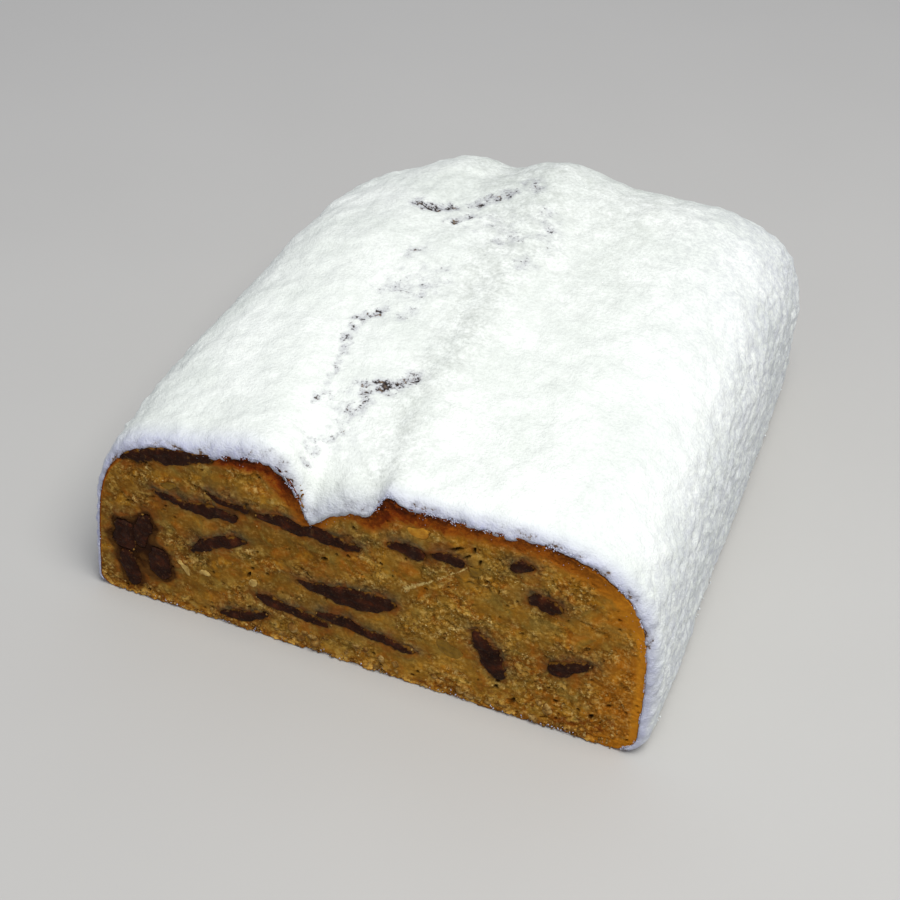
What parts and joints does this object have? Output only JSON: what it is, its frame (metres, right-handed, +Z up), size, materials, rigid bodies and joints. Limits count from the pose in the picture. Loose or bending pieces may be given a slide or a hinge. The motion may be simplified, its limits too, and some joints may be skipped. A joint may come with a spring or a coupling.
{
  "type": "stollen",
  "caption": "Half a folded fruit loaf cut across, with dried fruit, peel and nuts in the crumb and a thick coat of powdered sugar.",
  "frame": {"origin": "centre of the whole object's footprint, on the surface it rests on", "axes": "+Z up, +Y from the cut face towards the baked end, along the loaf; +X to the right as seen from the cut"},
  "size_m": [0.1341, 0.1542, 0.0586],
  "materials": {
    "crumb": "moist open crumb, baked brown at the rim",
    "sugar": "matt packed powder",
    "dried_fruit": "satin, slightly sticky",
    "citron": "candied, half clear",
    "orange_peel": "candied, half clear",
    "almond": "matt nut"
  },
  "bodies": {
    "root": {"loaf": "crumb", "sugar_coat": "sugar", "raisin_crust": "dried_fruit", "raisin_corner_upper": "dried_fruit", "raisin_corner_strip": "dried_fruit", "raisin_corner_lower": "dried_fruit", "raisin_corner_inner": "dried_fruit", "raisin_left": "dried_fruit", "fold_fruit_left": "dried_fruit", "fold_fruit_strand": "dried_fruit", "fold_fruit_middle": "dried_fruit", "raisin_club": "dried_fruit", "raisin_long_left": "dried_fruit", "raisin_long_right": "dried_fruit", "raisin_base": "dried_fruit", "raisin_step": "dried_fruit", "raisin_step_small": "dried_fruit", "raisin_shoulder": "dried_fruit", "raisin_right_upper": "dried_fruit", "raisin_right_lower": "dried_fruit", "raisin_steep": "dried_fruit", "citron_fold": "citron", "citron_low": "citron", "citron_high": "citron", "orange_peel": "orange_peel", "almond_left": "almond", "almond_middle": "almond", "almond_lower": "almond"}
  },
  "joints": []
}
